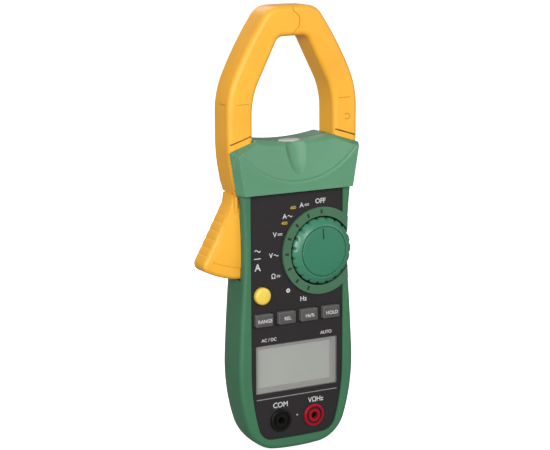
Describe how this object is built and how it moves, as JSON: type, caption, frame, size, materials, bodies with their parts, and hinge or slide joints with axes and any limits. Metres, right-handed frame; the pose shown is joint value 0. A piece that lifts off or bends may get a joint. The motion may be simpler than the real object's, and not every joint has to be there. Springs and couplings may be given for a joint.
{
  "type": "clamp meter",
  "caption": "Hand-held electrical clamp meter with hinged jaw and trigger, rotary selector, display, keys and input sockets.",
  "frame": {"origin": "on the front panel's face and the centre line, at the middle of the hand grip", "axes": "+X to the right seen from the front, +Y from the front face into the meter, +Z along the meter towards the jaws"},
  "size_m": [0.0946, 0.0386, 0.2436],
  "materials": {
    "case_green": "moulded, fine texture",
    "head_green": "moulded, satin",
    "ring_green": "moulded, satin",
    "knob_green": "moulded, satin",
    "panel_dark": "printed film, satin",
    "jaw_yellow": "moulded, satin",
    "button_yellow": "gloss",
    "key_grey": "soft satin",
    "black_plastic": "satin",
    "red_plastic": "satin",
    "white_plastic": "moulded",
    "clear_plastic": "clear, gloss",
    "display": "reflective liquid crystal, unlit",
    "dark_rubber": "matte",
    "board": "solder mask",
    "battery_can": "printed jacket",
    "core_steel": "laminated",
    "steel": "zinc plated",
    "brass": "machined"
  },
  "bodies": {
    "root": {"front_case": "case_green", "rear_case": "case_green", "head_cover": "head_green", "face_panel": "panel_dark", "dial_ring": "ring_green", "lcd_lens": "clear_plastic", "lcd_glass": "display", "lcd_contact_strips": "dark_rubber", "main_board": "board", "key_mat": "dark_rubber", "com_jack": "black_plastic", "volt_jack": "red_plastic", "jack_contacts": "brass", "battery": "battery_can", "battery_snap": "black_plastic", "battery_cover": "case_green", "battery_cover_screw": "steel", "case_screws": "steel", "board_screws": "steel", "buzzer": "black_plastic", "lamp_lens": "clear_plastic", "lamp_led": "clear_plastic", "fixed_jaw_front": "jaw_yellow", "fixed_jaw_rear": "jaw_yellow", "fixed_jaw_core": "core_steel", "fixed_jaw_screws": "steel", "hall_sensor": "board", "jaw_pivot_pin": "steel", "jaw_spring": "steel"},
    "moving_jaw": {"moving_jaw_front": "jaw_yellow", "moving_jaw_rear": "jaw_yellow", "moving_jaw_core": "core_steel", "trigger": "jaw_yellow"},
    "selector": {"selector_knob": "knob_green", "knob_cap": "knob_green", "selector_rotor": "white_plastic", "rotor_wipers": "brass", "detent_balls": "steel"},
    "select_button": {"select_button": "button_yellow"},
    "range_key": {"range_key": "key_grey"},
    "relative_key": {"relative_key": "key_grey"},
    "frequency_key": {"frequency_key": "key_grey"},
    "hold_key": {"hold_key": "key_grey"}
  },
  "joints": [
    {"name": "jaw_hinge", "type": "hinge", "parent": "root", "child": "moving_jaw", "pos_m": [-0.0272, 0.01125, 0.076], "axis": [0, -1, 0], "range_deg": [0, 26], "stiffness_Nm_per_rad": 0.6, "springref_deg": -28.65},
    {"name": "selector_turn", "type": "hinge", "parent": "root", "child": "selector", "pos_m": [0.0149, 0, 0.0332], "axis": [0, -1, 0], "range_deg": [0, 157.5]},
    {"name": "select_press", "type": "slide", "parent": "root", "child": "select_button", "axis": [0, 1, 0], "range_m": [0, 0.001], "stiffness_N_per_m": 900, "springref_m": -0.001},
    {"name": "range_press", "type": "slide", "parent": "root", "child": "range_key", "axis": [0, 1, 0], "range_m": [0, 0.001], "stiffness_N_per_m": 900, "springref_m": -0.001},
    {"name": "relative_press", "type": "slide", "parent": "root", "child": "relative_key", "axis": [0, 1, 0], "range_m": [0, 0.001], "stiffness_N_per_m": 900, "springref_m": -0.001},
    {"name": "frequency_press", "type": "slide", "parent": "root", "child": "frequency_key", "axis": [0, 1, 0], "range_m": [0, 0.001], "stiffness_N_per_m": 900, "springref_m": -0.001},
    {"name": "hold_press", "type": "slide", "parent": "root", "child": "hold_key", "axis": [0, 1, 0], "range_m": [0, 0.001], "stiffness_N_per_m": 900, "springref_m": -0.001}
  ]
}
